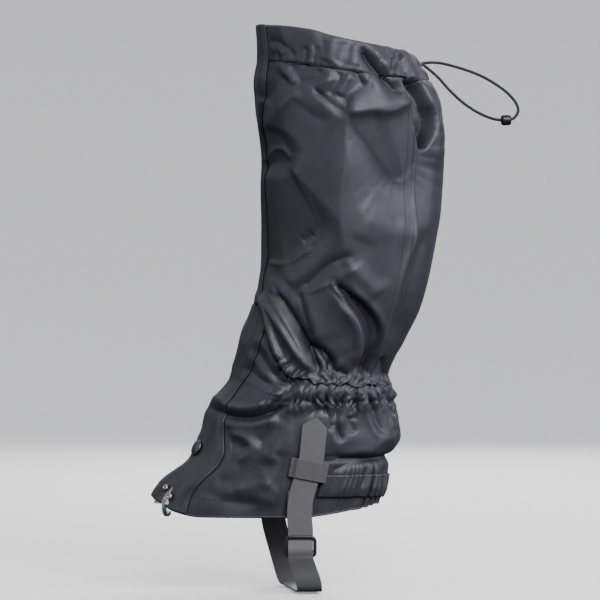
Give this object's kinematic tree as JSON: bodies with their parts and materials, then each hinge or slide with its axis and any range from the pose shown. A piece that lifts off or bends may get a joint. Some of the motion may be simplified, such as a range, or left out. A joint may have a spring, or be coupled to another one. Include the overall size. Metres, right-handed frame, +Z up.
{
  "type": "hiking gaiter",
  "caption": "Knee-high nylon gaiter for a left leg, with a front storm flap, a drawcord top hem, an elastic ankle, a lace hook and an adjustable strap under the boot.",
  "frame": {"origin": "on the ground under the axis of the wearer's left leg, when the gaiter is worn over a boot", "axes": "+Z up along the leg; -X towards the toe, +X towards the heel; -Y to the outer side of the leg, +Y to the inner side"},
  "size_m": [0.3722, 0.139, 0.5637],
  "materials": {
    "coated_nylon": "dark grey coated nylon, half gloss, fine square weave",
    "flap_nylon": "dark grey coated nylon, half gloss",
    "knitted_elastic": "black ribbed elastic",
    "grey_webbing": "mid grey smooth polyester webbing",
    "hook_and_loop": "black hook and loop tape",
    "black_cord": "black braided cord",
    "black_plastic": "black moulded acetal",
    "dark_metal": "gunmetal plating",
    "aged_brass": "old brass plating",
    "spring_steel": "plain steel"
  },
  "bodies": {
    "sleeve": {"calf_panel_outer": "coated_nylon", "calf_panel_rear": "coated_nylon", "calf_panel_inner": "coated_nylon", "foot_panel_outer": "coated_nylon", "foot_panel_inner": "coated_nylon", "bottom_hem_outer": "coated_nylon", "bottom_hem_inner": "coated_nylon", "heel_band": "coated_nylon", "top_hem": "coated_nylon", "ankle_elastic": "knitted_elastic", "heel_elastic": "knitted_elastic", "cord_grommet": "dark_metal", "drawcord_outer_run": "black_cord", "drawcord_inner_run": "black_cord", "drawcord_loop": "black_cord", "cord_bead": "black_plastic", "hook_tape_upper": "hook_and_loop", "hook_tape_lower": "hook_and_loop", "stud_ball": "dark_metal", "stud_post": "dark_metal", "strap_tail": "grey_webbing", "strap_keeper": "grey_webbing", "outer_anchor_patch": "grey_webbing", "inner_anchor_patch": "grey_webbing"},
    "flap_upper": {"storm_flap_upper": "flap_nylon", "loop_tape_upper": "hook_and_loop"},
    "flap_lower": {"storm_flap_lower": "flap_nylon", "loop_tape_lower": "hook_and_loop", "stud_cap": "dark_metal", "stud_socket": "dark_metal", "lace_hook": "spring_steel", "rivet_front": "aged_brass", "rivet_rear": "aged_brass"},
    "cord_lock": {"cord_lock_barrel": "black_plastic", "cord_lock_spring": "spring_steel"},
    "cord_lock_button": {"cord_lock_plunger": "black_plastic"},
    "instep_strap": {"instep_strap": "grey_webbing", "strap_slider": "black_plastic", "slider_anchor": "grey_webbing"},
    "strap_end": {"strap_end": "grey_webbing"}
  },
  "joints": [
    {"name": "flap_upper_open", "type": "hinge", "parent": "sleeve", "child": "flap_upper", "pos_m": [-0.0451, 0.04231, 0.2915], "axis": [-0.002, 0.002, -1], "range_deg": [0, 110]},
    {"name": "flap_lower_open", "type": "hinge", "parent": "sleeve", "child": "flap_lower", "pos_m": [-0.04646, 0.04194, 0.2855], "axis": [-0.4221, -0.0512, -0.9051], "range_deg": [0, 95]},
    {"name": "cord_lock_slide", "type": "slide", "parent": "sleeve", "child": "cord_lock", "axis": [0.7008, 0.6282, 0.338], "range_m": [0, 0.006]},
    {"name": "cord_lock_press", "type": "slide", "parent": "cord_lock", "child": "cord_lock_button", "axis": [0.2517, 0.2256, -0.9411], "range_m": [0, 0.003], "stiffness_N_per_m": 500, "springref_m": -0.002, "deforming": ["cord_lock_spring"]},
    {"name": "instep_strap_swing", "type": "hinge", "parent": "sleeve", "child": "instep_strap", "pos_m": [-0.0205, -0.056, 0.084], "axis": [-0.2617, 0.9651, 0], "range_deg": [-20, 20]},
    {"name": "strap_end_lift", "type": "hinge", "parent": "sleeve", "child": "strap_end", "pos_m": [-0.0085, -0.0558, 0.1345], "axis": [0.9889, 0, -0.1483], "range_deg": [0, 90]}
  ]
}
